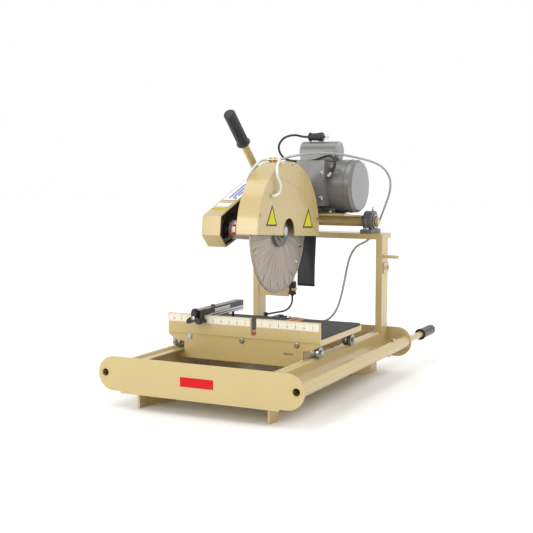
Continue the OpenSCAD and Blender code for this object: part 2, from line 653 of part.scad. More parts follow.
// ---- Cart ----
skirt_z = 164;
apron_in = 185;
apron_low = 101.5;
hook_x = 204;
hook_z = 115;
apron_outline = [[-hook_x, apron_low], [hook_x, apron_low], [hook_x, hook_z], [apron_in, hook_z + 3],
    [apron_in, 148], [210, 149.5], [deck_w / 2, skirt_z], [deck_w / 2, seam_z], [-deck_w / 2, seam_z],
    [-deck_w / 2, skirt_z], [-210, 149.5], [-apron_in, 148], [-apron_in, hook_z + 3], [-hook_x, hook_z]];
module cart_deck() color(tan_paint) at_frame() {
    box([-deck_w / 2, fence_y + fence_t, deck_top - deck_t], [deck_w / 2, fence_y + deck_l, deck_top]);
    both_sides() {
        box([deck_w / 2 - 3, fence_y + fence_t, skirt_z], [deck_w / 2, fence_y + deck_l, deck_top]);
        for (y = axle_y) difference() {
            box([wheel_x - wheel_w / 2 - 5, y - 9, axle_z - 8], [wheel_x - wheel_w / 2 - 2, y + 9,
                deck_top - 1]);
            rod_x(0, 400, 4.1, y, axle_z);
        }
    }
    difference() {
        along_y(fence_y + 3, 4) polygon(apron_outline);
        box([127, 0, 134], [157, 400, 139]);
        fence_bolts_at() cylinder(h = 40, r = 3.3, center = true);
    }
    box([-deck_w / 2, fence_y + 3, seam_z - 1], [deck_w / 2, fence_y + fence_t + 1, seam_z]);
    box([-deck_w / 2, fence_y + fence_t, seam_z - 1], [deck_w / 2, fence_y + fence_t + 3, deck_top]);
}
module fence_bolts_at() for (x = [-167, 0, 167]) translate([x, fence_y, 162.5]) rotate([90, 0, 0]) children();
module cart_fence() color(tan_paint) at_frame() difference() {
    box([-deck_w / 2, fence_y, seam_z], [deck_w / 2, fence_y + fence_t, fence_top]);
    translate([slot_x, 0, seam_z + slot_w / 2 + 5]) {
        box([-slot_w / 2, 0, 0], [slot_w / 2, 500, 100]);
        rod_y(0, 500, slot_w / 2);
    }
}
module deck_mat() color(black) at_frame() {
    mat_side(-deck_w / 2 + 4, slot_x - insert_w / 2);
    mat_side(slot_x + insert_w / 2, deck_w / 2 - 4);
}
module mat_side(x0, x1) box([x0, fence_y + fence_t + 3.5, deck_top], [x1, fence_y + deck_l - 1,
    deck_top + mat_t]);
kerf_w = 8;
kerf_h = 5;
module cut_insert() color([0.77, 0.47, 0.2]) at_frame() difference() {
    mat_side(slot_x - insert_w / 2 + 0.5, slot_x + insert_w / 2 - 0.5);
    box([slot_x - kerf_w / 2, 0, deck_top + mat_t - kerf_h], [slot_x + kerf_w / 2, 900, deck_top + 20]);
}
module cart_bolts() color(steel) at_frame() {
    fence_bolts_at() translate([0, 0, -3]) hex_bolt(6.5, 4, 3.2, 5);
    both_sides() for (y = axle_y) translate([wheel_x + wheel_w / 2 + 1, y, axle_z]) rotate([0, 90, 0])
        hex_bolt(6.5, 5, 4, wheel_w + 8);
}
module wheel(side, y) color(dark_gray) at_frame() difference() {
    translate([side * wheel_x - wheel_w / 2, y, axle_z]) rotate([0, 90, 0]) rotate_extrude()
        polygon([[0, 0], [wheel_d / 2, 0], [wheel_d / 2, wheel_w / 2 - groove_h], [wheel_d / 2 - groove_h,
            wheel_w / 2],
            [wheel_d / 2, wheel_w / 2 + groove_h], [wheel_d / 2, wheel_w], [0, wheel_w]]);
    rod_x(side * wheel_x - wheel_w, 2 * wheel_w, 4 + run_fit, y, axle_z);
}
module wheel_front_left() wheel(-1, axle_y[0]);
module wheel_front_right() wheel(1, axle_y[0]);
module wheel_rear_left() wheel(-1, axle_y[1]);
module wheel_rear_right() wheel(1, axle_y[1]);

// ---- Rip guide ----
guide_x = [-143, -117];
guide_y = [222, 482];
guide_z = [214, 243];
clamp_x = [-150, -110];
guide_mid = -130;
stud_z = 222;
stud_r = 4;
module guide_bar() color(black) at_frame() {
    difference() {
        box([guide_x[0], guide_y[0], guide_z[0]], [guide_x[1], guide_y[1], guide_z[1]]);
        box([guide_x[0] - 1, fence_y - 0.5, 0], [guide_x[1] + 1, fence_y + fence_t + 0.5, fence_top + 0.3]);
        rod_y(guide_y[0] - 1, fence_y - guide_y[0] + 2, stud_r + run_fit, guide_mid, stud_z);
    }
    difference() {
        box([clamp_x[0], fence_y - 6, 206], [clamp_x[1], fence_y - 0.5, guide_z[0] + 1]);
        rod_y(guide_y[0] - 1, fence_y - guide_y[0] + 2, stud_r + run_fit, guide_mid, stud_z);
    }
    translate([guide_mid, 440, deck_top + mat_t + 0.3])
        cylinder(h = guide_z[0] - deck_top - mat_t + 1, r = 4);
    translate([guide_mid, 440, deck_top + mat_t + 0.3]) cylinder(h = 4, r = 9);
    translate([guide_mid, 318, guide_z[1]]) cylinder(h = 5, r = 7, $fn = 6);
}
knob_r = 27;
module guide_knob() color(black) at_frame()
    translate([guide_mid, guide_y[0] - 1, stud_z]) rotate([90, 0, 0]) {
    cylinder(h = 14, r = 13);
    for (a = [90, 210, 330]) rotate(a) translate([knob_r - 7, 0, 0]) cylinder(h = 14, r = 7);
    translate([0, 0, -(fence_y - guide_y[0]) + 0.7]) cylinder(h = fence_y - guide_y[0], r = 4);
}

// ---- Lift bars ----
bar_front = 560;
collar_l = 8;
lift_grip_l = 121;
module lift_bar() {
    rod_y(bar_front, overall_l - 5 - bar_front, bar_d / 2, tube_x, tube_z);
    rod_y(bar_front, collar_l, tube_d / 2 - tube_wall - slide_fit, tube_x, tube_z);
}
module lift_grip() difference() {
    union() {
        rod_y(overall_l - lift_grip_l, lift_grip_l, 16.5, tube_x, tube_z);
        rod_y(overall_l - lift_grip_l, 6, 18.5, tube_x, tube_z);
    }
    rod_y(overall_l - lift_grip_l - 1, lift_grip_l - 4, bar_d / 2, tube_x, tube_z);
}
module left_lift_bar() color(tan_paint) at_frame() mirror([1, 0, 0]) lift_bar();
module right_lift_bar() color(tan_paint) at_frame() lift_bar();
module left_lift_grip() color(black) at_frame() mirror([1, 0, 0]) lift_grip();
module right_lift_grip() color(black) at_frame() lift_grip();

front_plate();
rear_plate();
rails();
pan();
carry_tubes();
feet();
gantry();
pillow_blocks();
frame_bolts();
post_brackets();
pump_body();
pump_cord();
pump_plug();
lower_hose();
pivot_shaft();
head_plate();
spindle_housing();
blade_guard();
guard_side_cover();
splash_flap();
flap_strip();
belt_guard();
belt_backplate();
drive_belt();
head_bolts();
motor_housing();
motor_bells();
capacitor_cover();
conduit_box();
cord_gland();
handle_tube();
handle_grip();
water_tee();
left_spray_tube();
right_spray_tube();
upper_hose();
motor_cord();
motor_plug();
spindle_shaft();
blade_flanges();
arbor_nut();
blade();
arbor_pulley();
motor_rotor();
motor_pulley();
cart_deck();
cart_fence();
deck_mat();
cut_insert();
cart_bolts();
wheel_front_left();
wheel_front_right();
wheel_rear_left();
wheel_rear_right();
guide_bar();
guide_knob();
left_lift_bar();
right_lift_bar();
left_lift_grip();
right_lift_grip();
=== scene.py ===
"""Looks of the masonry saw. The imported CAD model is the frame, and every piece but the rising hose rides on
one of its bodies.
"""
import json
from math import cos, pi, radians, sin, tau

import bmesh
import bpy
from mathutils import Matrix, Vector


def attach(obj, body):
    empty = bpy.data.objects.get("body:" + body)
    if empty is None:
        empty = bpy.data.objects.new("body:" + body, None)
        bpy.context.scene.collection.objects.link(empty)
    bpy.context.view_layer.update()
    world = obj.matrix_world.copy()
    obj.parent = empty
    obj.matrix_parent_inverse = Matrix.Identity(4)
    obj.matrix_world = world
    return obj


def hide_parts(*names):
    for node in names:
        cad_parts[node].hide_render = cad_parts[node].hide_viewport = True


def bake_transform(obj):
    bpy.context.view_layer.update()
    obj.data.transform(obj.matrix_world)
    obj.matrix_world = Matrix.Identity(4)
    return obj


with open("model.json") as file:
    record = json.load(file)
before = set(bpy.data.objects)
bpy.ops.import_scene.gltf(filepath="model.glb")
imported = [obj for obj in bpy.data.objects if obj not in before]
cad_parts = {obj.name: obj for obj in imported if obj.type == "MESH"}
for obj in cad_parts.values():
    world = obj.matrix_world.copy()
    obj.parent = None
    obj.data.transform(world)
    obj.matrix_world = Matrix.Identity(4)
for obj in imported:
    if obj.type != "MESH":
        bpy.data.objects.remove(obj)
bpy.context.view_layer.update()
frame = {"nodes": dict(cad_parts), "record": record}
NODES = frame["nodes"]

# Lengths in the tables below are millimetres, measured from the front plate's face and the floor
MM = 0.001
INCH = 25.4
OVERALL_LENGTH = 1085
PIVOT_Y, PIVOT_Z = 794, 470.1
HEAD_TILT = radians(4)
LIFT_TUBE_X, LIFT_TUBE_Z = 280.5, 94.9
BEARING_X = 168.5
# Y and Z of centres in the head, from the pivot axis
ARBOR = (-391, -39)
BLADE_X = 38
GUARD_CENTER, GUARD_RADIUS = (-385, -46), 202.9
MOTOR_CENTER, MOTOR_RADIUS = (-76, 105.1), 81.5


def at(x, y, z):
    """A place measured from the front plate's face, as a point in the row frame."""
    return Vector((x, y - OVERALL_LENGTH / 2, z)) * MM


def in_head(x, y, z):
    """A place measured from the pivot axis along the level head, as a point in the row frame."""
    return at(x, PIVOT_Y + y * cos(HEAD_TILT) + z * sin(HEAD_TILT),
              PIVOT_Z - y * sin(HEAD_TILT) + z * cos(HEAD_TILT))


# ---- Camera, light and floor ----

def make_camera():
    data = bpy.data.cameras.new("camera")
    data.lens = 69.7
    data.sensor_width = 36
    camera = link_object("camera", data)
    camera.location = (1.31384, -2.78476, 0.64763)
    camera.rotation_euler = (radians(84.34), 0, radians(26.42))
    bpy.context.scene.camera = camera


LIT_POINT = Vector((0, 0, 0.3))


def make_light(name, location, size, power):
    data = bpy.data.lights.new(name, "AREA")
    data.size = size
    data.energy = power
    light = link_object(name, data)
    light.location = location
    light.rotation_euler = (Vector(location) - LIT_POINT).to_track_quat("Z", "Y").to_euler()


def make_stage():
    world = bpy.data.worlds.new("studio")
    world.use_nodes = True
    world.node_tree.nodes["Background"].inputs["Color"].default_value = (1, 1, 1, 1)
    world.node_tree.nodes["Background"].inputs["Strength"].default_value = 1.0
    bpy.context.scene.world = world
    bpy.context.scene.view_settings.view_transform = "Standard"
    make_light("key", (-1.2, -3.4, 1.3), 1.4, 34)
    make_light("rim", (1.7, 1.9, 1.9), 0.4, 12)
    sun = bpy.data.lights.new("overhead", "SUN")
    sun.energy, sun.angle = 0.6, radians(35)
    overhead = link_object("overhead", sun)
    overhead.rotation_euler = Vector((-0.55, -0.25, 1.6)).to_track_quat("Z", "Y").to_euler()
    floor = mesh_piece("floor", *grid_mesh(12, 12, lambda u, v: Vector((24 * u - 12, 24 * v - 12, 0))),
                       pale_floor(), None)


# ---- Materials ----

def add(tree, kind, inputs=None, **settings):
    """A shader node with its settings; an input is a value or another node's socket."""
    node = tree.nodes.new(kind)
    for key, value in settings.items():
        setattr(node, key, value)
    for key, value in (inputs or {}).items():
        if isinstance(value, bpy.types.NodeSocket):
            tree.links.new(value, node.inputs[key])
        else:
            node.inputs[key].default_value = value
    return node


def tint(color, gain):
    return (*[min(1, c * gain) for c in color], 1)


def surface(name, color, roughness, metallic=0.0, mottle=0.06, mottle_scale=7, grain=450,
            grain_depth=0.00015,
            stretch=(1, 1, 1), swing=0.08, edge=0.0012, worn=None, coat=0.0, coat_roughness=0.1, ior=1.5,
            streaks=None):
    """A finish with soft edges, broad changes of tone, a fine grain in height and gloss, and wear."""
    material = bpy.data.materials.new(name)
    material.use_nodes = True
    tree = material.node_tree
    shader = tree.nodes["Principled BSDF"]
    place = add(tree, "ShaderNodeTexCoord").outputs["Object"]
    stretched = add(tree, "ShaderNodeMapping", {"Vector": place, "Scale": stretch}).outputs["Vector"]
    broad = add(tree, "ShaderNodeTexNoise",
                {"Vector": place, "Scale": mottle_scale, "Detail": 4.0}).outputs["Fac"]
    fine = add(tree, "ShaderNodeTexNoise",
               {"Vector": stretched, "Scale": grain, "Detail": 3.0}).outputs["Fac"]
    tone = add(tree, "ShaderNodeMix", data_type="RGBA")
    tone.inputs["A"].default_value = tint(color, 1 - mottle)
    tone.inputs["B"].default_value = tint(color, 1 + mottle)
    tree.links.new(broad, tone.inputs["Factor"])
    base = tone.outputs["Result"]
    if streaks:
        base = streaked(tree, place, base, streaks)
    soft = add(tree, "ShaderNodeBevel", {"Radius": edge}, samples=4).outputs["Normal"]
    if worn:
        flat = add(tree, "ShaderNodeNewGeometry").outputs["Normal"]
        bend = add(tree, "ShaderNodeVectorMath", {0: soft, 1: flat}, operation="DOT_PRODUCT").outputs["Value"]
        rubbed = add(tree, "ShaderNodeMapRange",
                     {"Value": bend, "From Min": 0.97, "From Max": 0.80}).outputs["Result"]
        patches = add(tree, "ShaderNodeMapRange",
                      {"Value": broad, "From Min": 0.5, "From Max": 0.62}).outputs["Result"]
        both = add(tree, "ShaderNodeMath", {0: rubbed, 1: patches}, operation="MULTIPLY").outputs["Value"]
        wear = add(tree, "ShaderNodeMix", {"Factor": both}, data_type="RGBA")
        tree.links.new(base, wear.inputs["A"])
        wear.inputs["B"].default_value = (*worn, 1)
        base = wear.outputs["Result"]
    gloss = add(tree, "ShaderNodeMapRange", {"Value": fine, "To Min": max(0.02, roughness - swing),
                                             "To Max": min(1, roughness + swing)}).outputs["Result"]
    height = add(tree, "ShaderNodeBump",
                 {"Height": fine, "Distance": grain_depth, "Strength": 0.5, "Normal": soft})
    tree.links.new(base, shader.inputs["Base Color"])
    tree.links.new(gloss, shader.inputs["Roughness"])
    tree.links.new(height.outputs["Normal"], shader.inputs["Normal"])
    shader.inputs["Metallic"].default_value = metallic
    shader.inputs["Coat Weight"].default_value = coat
    shader.inputs["Coat Roughness"].default_value = coat_roughness
    shader.inputs["IOR"].default_value = ior
    return material


def streaked(tree, place, base, center):
    """Grinding streaks that sweep out from the middle of a disc lying in the Y-Z plane."""
    parts = add(tree, "ShaderNodeSeparateXYZ", {"Vector": place}).outputs
    across = add(tree, "ShaderNodeMath", {0: parts["Y"], 1: center[1]}, operation="SUBTRACT").outputs["Value"]
    up = add(tree, "ShaderNodeMath", {0: parts["Z"], 1: center[2]}, operation="SUBTRACT").outputs["Value"]
    turn = add(tree, "ShaderNodeMath", {0: up, 1: across}, operation="ARCTAN2").outputs["Value"]
    square_y = add(tree, "ShaderNodeMath", {0: across, 1: across}, operation="MULTIPLY").outputs["Value"]
    square_z = add(tree, "ShaderNodeMath", {0: up, 1: up, 2: square_y},
                   operation="MULTIPLY_ADD").outputs["Value"]
    radius = add(tree, "ShaderNodeMath", {0: square_z}, operation="SQRT").outputs["Value"]
    swept = add(tree, "ShaderNodeMath", {0: radius, 1: 1.6, 2: turn},
                operation="MULTIPLY_ADD").outputs["Value"]
    polar = add(tree, "ShaderNodeCombineXYZ", {"X": swept, "Y": radius}).outputs["Vector"]
    scaled = add(tree, "ShaderNodeMapping", {"Vector": polar, "Scale": (17, 7, 1)}).outputs["Vector"]
    noise = add(tree, "ShaderNodeTexNoise", {"Vector": scaled, "Scale": 1.0, "Detail": 6.0}).outputs["Fac"]
    amount = add(tree, "ShaderNodeMapRange",
                 {"Value": noise, "From Min": 0.38, "From Max": 0.68}).outputs["Result"]
    mixed = add(tree, "ShaderNodeMix", {"Factor": amount}, data_type="RGBA", blend_type="MIX")
    dark = add(tree, "ShaderNodeMix", {"Factor": 0.48}, data_type="RGBA")
    tree.links.new(base, dark.inputs["A"])
    dark.inputs["B"].default_value = (0.10, 0.08, 0.065, 1)
    tree.links.new(base, mixed.inputs["A"])
    tree.links.new(dark.outputs["Result"], mixed.inputs["B"])
    return mixed.outputs["Result"]


def pale_floor():
    return surface("pale_floor", (0.97, 0.97, 0.97), 0.7, mottle=0.01, grain=60, grain_depth=0.0001,
                   swing=0.05)


TAN = (0.515, 0.395, 0.172)
FINISHES = { "tan_paint": surface("tan_paint", TAN, 0.27, mottle=0.035, grain=520, grain_depth=0.00010,
                                  worn=(0.74, 0.63, 0.40), coat=0.3, coat_roughness=0.08),
            "zinc": surface("zinc", (0.46, 0.45, 0.43), 0.22, 1.0, mottle=0.25, mottle_scale=30, grain=700,
                            edge=0.0006),
            "bright_steel": surface("bright_steel", (0.60, 0.59, 0.58), 0.28, 1.0, grain=500,
                                    stretch=(8, 1, 1), edge=0.0006),
            "housing_steel": surface("housing_steel", (0.60, 0.50, 0.46), 0.38, 0.8, grain=380,
                                     stretch=(12, 1, 1)),
            "cast_gray": surface("cast_gray", (0.135, 0.139, 0.139), 0.37, 0.3, mottle=0.12, grain=260,
                                 grain_depth=0.0005, edge=0.002, worn=(0.35, 0.35, 0.35)),
            "blade_steel": surface("blade_steel", (0.46, 0.40, 0.34), 0.42, 0.55, mottle=0.10,
                                   mottle_scale=14, grain=240, grain_depth=0.0002, edge=0.0004,
                                   streaks=in_head(BLADE_X, *ARBOR)),
            "motor_paint": surface("motor_paint", (0.185, 0.183, 0.178), 0.36, 0.25, mottle=0.05, grain=420,
                                   edge=0.002, worn=(0.34, 0.34, 0.33), coat=0.25, coat_roughness=0.2),
            "bell_aluminium": surface("bell_aluminium", (0.33, 0.33, 0.335), 0.45, 0.4, mottle=0.05,
                                      grain=300, edge=0.002),
            "black_plastic": surface("black_plastic", (0.012, 0.012, 0.013), 0.24, mottle=0.15, grain=900,
                                     edge=0.0015, worn=(0.07, 0.07, 0.07)),
            "black_rubber": surface("black_rubber", (0.018, 0.018, 0.019), 0.55, mottle=0.2, grain=600,
                                    grain_depth=0.0003, edge=0.0015),
            "orange_plastic": surface("orange_plastic", (0.50, 0.19, 0.045), 0.5, mottle=0.12, grain=200,
                                      stretch=(1, 12, 1), edge=0.001),
            "brass": surface("brass", (0.62, 0.42, 0.18), 0.35, 1.0, mottle=0.12, grain=500, edge=0.0008),
            "white_tube": surface("white_tube", (0.72, 0.72, 0.71), 0.24, mottle=0.04, grain=300, coat=0.4),
            "gray_hose": surface("gray_hose", (0.36, 0.355, 0.33), 0.34, mottle=0.05, grain=300, coat=0.3),
            "wheel_plastic": surface("wheel_plastic", (0.33, 0.33, 0.325), 0.24, 0.7, mottle=0.15, grain=400,
                                     edge=0.001), }
PRINTS = { "red_vinyl": surface("red_vinyl", (0.56, 0.002, 0.008), 0.45, mottle=0.05, grain=350, ior=1.3),
          "white_vinyl": surface("white_vinyl", (0.85, 0.85, 0.85), 0.35, mottle=0.03, grain=350, coat=0.3),
          "yellow_vinyl": surface("yellow_vinyl", (0.62, 0.56, 0.0), 0.45, mottle=0.04, grain=350, ior=1.3),
          "black_vinyl": surface("black_vinyl", (0.015, 0.015, 0.015), 0.4, mottle=0.1, grain=350),
          "blue_vinyl": surface("blue_vinyl", (0.03, 0.12, 0.55), 0.35, mottle=0.05, grain=350, coat=0.3),
          "segment_grit": surface("segment_grit", (0.36, 0.32, 0.28), 0.62, 0.4, mottle=0.25, mottle_scale=60,
                                  grain=900, grain_depth=0.0004),
          "cream_scale": surface("cream_scale", (0.80, 0.76, 0.63), 0.32, mottle=0.04, grain=350, coat=0.3), }


def paint_cad_nodes():
    for entry in frame["record"]["subparts"]:
        slots = NODES[entry["node"]].data.materials
        slots.clear()
        slots.append(FINISHES[entry["material_slot"]])


# ---- Mesh helpers ----

SHARP_EDGE = radians(35)


def link_object(name, data):
    made = bpy.data.objects.new(name, data)
    bpy.context.scene.collection.objects.link(made)
    return made


def piece_from(shape, name):
    """An object out of a bmesh, which is freed."""
    mesh = bpy.data.meshes.new(name)
    shape.to_mesh(mesh)
    shape.free()
    return link_object(name, mesh)


def mesh_piece(name, vertices, faces, material, body, slot=None, smooth=True):
    mesh = bpy.data.meshes.new(name)
    mesh.from_pydata([tuple(v) for v in vertices], [], faces)
    return dress(link_object(name, mesh), material, body, smooth)


def dress(piece, material, body, smooth=True):
    """Outward faces, shading, a material, and a body to ride on."""
    shape = bmesh.new()
    shape.from_mesh(piece.data)
    bmesh.ops.recalc_face_normals(shape, faces=shape.faces)
    for face in shape.faces:
        face.smooth = smooth
    for side in shape.edges:
        side.smooth = not (len(side.link_faces) == 2 and side.calc_face_angle(0) > SHARP_EDGE)
    shape.to_mesh(piece.data)
    shape.free()
    piece.data.materials.append(material)
    if body:
        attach(piece, body)
    return piece


def grid_mesh(columns, rows, place):
    """Vertices and faces of a sheet; place(u, v) gives the point for u and v from 0 to 1."""
    vertices = [place(i / columns, j / rows) for j in range(rows + 1) for i in range(columns + 1)]
    step = columns + 1
    faces = [(j * step + i, j * step + i + 1, (j + 1) * step + i + 1, (j + 1) * step + i)
             for j in range(rows) for i in range(columns)]
    return vertices, faces


def ring_faces(rings, sides):
    """The faces between rings of vertices that follow one another."""
    return [(i * sides + k, i * sides + (k + 1) % sides, (i + 1) * sides + (k + 1) % sides,
             (i + 1) * sides + k) for i in range(rings - 1) for k in range(sides)]


def end_faces(rings, sides):
    return [tuple(range(sides)), tuple(range((rings - 1) * sides, rings * sides))]


def lathe(name, profile, start, direction, body, slot, sides=48):
    """A turned piece: profile is (distance along the axis, radius) in millimetres, from start."""
    axis = Vector(direction).normalized()
    side = axis.orthogonal().normalized()
    other = axis.cross(side)
    vertices = []
    for along, radius in profile:
        for k in range(sides):
            turn = tau * k / sides
            outward = cos(turn) * side + sin(turn) * other
            vertices.append(Vector(start) + MM * (along * axis + radius * outward))
    faces = ring_faces(len(profile), sides)
    if profile[0] != profile[-1]:
        faces += end_faces(len(profile), sides)
    return mesh_piece(name, vertices, faces, FINISHES[slot], body, slot)


def plate(name, outline, normal, thickness, material, body, soft=0.3):
    """A flat piece with rounded edges; the outline is in the row frame, and it stands out along normal."""
    lift = Vector(normal).normalized() * thickness * MM
    shape = bmesh.new()
    low = [shape.verts.new(p) for p in outline]
    high = [shape.verts.new(Vector(p) + lift) for p in outline]
    count = len(outline)
    shape.faces.new(low)
    top = shape.faces.new(high)
    for i in range(count):
        shape.faces.new((low[i], low[(i + 1) % count], high[(i + 1) % count], high[i]))
    if soft:
        bmesh.ops.bevel(shape, geom=list(top.edges), offset=soft * MM, segments=2, affect="EDGES")
    return dress(piece_from(shape, name), material, body)


def block(name, low, high, body, slot, soft):
    """A box between two corners, all its edges rounded."""
    shape = bmesh.new()
    bmesh.ops.create_cube(shape, size=1)
    for vertex in shape.verts:
        vertex.co = [low[i] if vertex.co[i] < 0 else high[i] for i in range(3)]
    bmesh.ops.bevel(shape, geom=list(shape.edges), offset=soft, segments=3, affect="EDGES")
    for vertex in shape.verts:
        vertex.co = at(*vertex.co)
    return dress(piece_from(shape, name), FINISHES[slot], body)


def join(name, pieces):
    """One object out of several that share a body."""
    with bpy.context.temp_override(active_object=pieces[0], selected_editable_objects=pieces):
        bpy.ops.object.join()
    pieces[0].name = name
    return pieces[0]


# ---- Cords ----

def spline_point(points, i, t):
    """The smooth curve through the points, between point i and the next, as in the CAD."""
    a, b = points[max(i - 1, 0)], points[i]
    c, d = points[i + 1], points[min(i + 2, len(points) - 1)]
    return 0.5 * (2 * b + (c - a) * t + (2 * a - 5 * b + 4 * c - d) * t ** 2
                  + (3 * b - a - 3 * c + d) * t ** 3)


STEPS_PER_SPAN = 6


def smooth_route(route):
    points = [at(*p) for p in route]
    line = [spline_point(points, i,
                         s / STEPS_PER_SPAN) for i in range(len(points) - 1) for s in range(STEPS_PER_SPAN)]
    return line + [points[-1]]


def tube(name, line, radius, body, slot, sides=16):
    """A mesh tube that follows a line without twisting; radius is one length, or a list for the points."""
    radii = radius if isinstance(radius, list) else [radius] * len(line)
    vertices, side = [], None
    for i, point in enumerate(line):
        heading = (line[min(i + 1, len(line) - 1)] - line[max(i - 1, 0)]).normalized()
        side = heading.orthogonal() if side is None else side - side.dot(heading) * heading
        side.normalize()
        other = heading.cross(side)
        vertices += [point + radii[i] * (cos(tau * k / sides) * side + sin(tau * k / sides) * other)
                     for k in range(sides)]
    faces = ring_faces(len(line), sides) + end_faces(len(line), sides)
    return mesh_piece(name, vertices, faces, FINISHES[slot], body, slot)


HOSE_D, SPRAY_D, MOTOR_CORD_D, PUMP_CORD_D = 7, 8, 7, 6
PUMP_CORD_ROUTE = [(-80, 750, 226), (-80, 750, 216), (-81, 750, 206), (-84, 750, 197), (-89, 749, 189),
                   (-96, 749, 182), (-104, 748, 177), (-112, 747.5, 174), (-120, 747, 172),
                   (-128, 746, 170.5), (-135, 745, 169), (-142, 744, 167.5), (-148, 742.5, 166),
                   (-153, 741, 165), (-158, 740, 164), (-162.5, 739, 163)]
LOWER_HOSE_ROUTE = [(-91.8, 735, 157), (-60, 733, 157), (-24, 725, 156), (10, 717, 153), (42, 711, 156),
                    (70, 710, 170), (90, 716, 200), (97, 734, 240), (98, 756, 282), (97, 780, 322),
                    (98, 804, 356), (104, 830, 381), (118, 847, 394), (132, 855, 402), (142, 856, 411),
                    (150, 856, 420)]
UPPER_HOSE_ROUTE = [(150.2, 856, 420.3), (158, 856, 430), (172, 855, 458), (186, 851, 490),
                    (202, 842, 524), (218, 830, 560), (225, 816, 594), (219, 802, 622), (202, 786, 643),
                    (178, 762, 657), (151, 728, 667), (123, 690, 675), (94, 654, 680), (65, 620, 681),
                    (40, 572, 677), (25, 510, 670), (23, 455, 662.5), (24, 425, 661), (24, 408.1, 661)]
LEFT_SPRAY_ROUTE = [(16.8, 394, 661), (9, 393.5, 661), (0, 386, 659.5), (-6, 370, 655), (-7, 348, 645),
                    (-7, 324, 630), (-7, 302, 614), (-6, 289, 602), (-1, 281, 596), (7, 280, 595)]
RIGHT_SPRAY_ROUTE = [(31.4, 394, 661), (39, 393.6, 661), (46.5, 388.5, 660.8), (54, 377, 659.3),
                     (61, 358, 656), (68, 337, 649.5), (75, 317, 640.5), (80.5, 305, 628.5),
                     (81.5, 307, 614), (82, 315, 602), (82, 322, 590), (82, 321, 578),
                     (82, 312, 568.5), (82, 299, 564), (80, 288, 562.4), (73.6, 285.8, 562)]
MOTOR_CORD_ROUTE = [(101.5, 637, 624.7), (107, 637, 632), (111, 639, 645), (109, 643, 659),
                    (99, 650, 669), (82, 658, 673), (58, 667, 668), (32, 677, 661), (4, 682, 657),
                    (-26, 683, 657), (-56, 683, 659), (-82, 686, 669), (-99, 692, 689),
                    (-102, 700, 712), (-87, 711, 732), (-60, 722, 738.5), (-36, 727, 734),
                    (-16.2, 727, 732.3)]


def lay_cord(name, route, diameter, slot, body, node,
             reverse=False):
    line = smooth_route(route)
    if reverse:
        line.reverse()
    piece = tube(name, line, diameter / 2 * MM, body, slot)
    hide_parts(node)
    return piece


def make_cords():
    lay_cord("pump_lead", PUMP_CORD_ROUTE, PUMP_CORD_D, "black_rubber", "frame", "pump_cord",
             reverse=True)
    lay_cord("pan_hose", LOWER_HOSE_ROUTE, HOSE_D, "gray_hose", "frame", "lower_hose")
    lay_cord("left_spray_line", LEFT_SPRAY_ROUTE, SPRAY_D, "white_tube", "head", "left_spray_tube")
    lay_cord("right_spray_line", RIGHT_SPRAY_ROUTE, SPRAY_D, "white_tube", "head", "right_spray_tube")
    lay_cord("motor_lead", MOTOR_CORD_ROUTE, MOTOR_CORD_D, "black_rubber", "head", "motor_cord")
    rising = lay_cord("head_hose", UPPER_HOSE_ROUTE, HOSE_D, "gray_hose", None, "upper_hose")
    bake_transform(rising)


# ---- Detail helpers ----

def head_way(x, y, z):
    """A direction along the level head, turned into the row frame."""
    return (in_head(x, y, z) - in_head(0, 0, 0)).normalized()


def rounded(center, right, up, width, height, radius):
    """The outline of a rectangle with rounded corners, sizes in millimetres."""
    outline, steps = [], 4
    for corner, (across, along) in enumerate([(1, 1), (-1, 1), (-1, -1), (1, -1)]):
        for k in range(steps + 1):
            turn = pi / 2 * (corner + k / steps)
            outline.append(center + MM * (right * (across * (width / 2 - radius) + radius * cos(turn))
                                          + up * (along * (height / 2 - radius) + radius * sin(turn))))
    return outline


X, Y, Z = Vector((1, 0, 0)), Vector((0, 1, 0)), Vector((0, 0, 1))


def decal(name, center, right, up, width, height, material, body, corner=1.5, thickness=0.4, lift=0.0):
    """A thin printed patch on a flat face, standing out to the side of right x up."""
    normal = Vector(right).cross(Vector(up)).normalized()
    return plate(name, rounded(center + normal * lift * MM, right, up, width, height, corner), normal,
                 thickness, material, body, soft=0.12)


def weld(name, start, end, body, radius):
    """A welded seam: a bead with the overlapping ripples of a hand weld."""
    length, pitch = (end - start).length / MM, 3.4
    steps = max(6, int(length / (pitch / 4)))
    profile = [(length * i / steps, radius * (0.82 + 0.18 * abs(sin(pi * length * i / steps / pitch))))
               for i in range(steps + 1)]
    return lathe(name, [(0, 0.3)] + profile + [(length, 0.3)], start, end - start, body, "tan_paint",
                 sides=10)


def washer(name, place, way, outer, inner, height, body, slot):
    rim = 0.25
    profile = [(0, inner), (0, outer - rim), (rim, outer), (height - rim, outer), (height, outer - rim),
               (height, inner), (0, inner)]
    return lathe(name, profile, place, way, body, slot, sides=40)


def cap_screw(name, place, way, radius, height, body, slot):
    """A round-headed screw with a hexagon socket."""
    socket = 0.45 * radius
    profile = [(0, 0.2), (0, radius), (0.45 * height, radius), (0.8 * height, 0.88 * radius),
               (height, 0.62 * radius), (height, socket), (0.45 * height, socket), (0.45 * height, 0.2)]
    return lathe(name, profile, place, way, body, slot, sides=36)


def arc_line(center_y, center_z, radius, x, start, end, steps=72):
    """Points along an arc in the head's side plane, angles in degrees."""
    turns = [radians(start + (end - start) * i / steps) for i in range(steps + 1)]
    return [in_head(x, center_y + radius * cos(t), center_z + radius * sin(t)) for t in turns]


# ---- Frame details ----

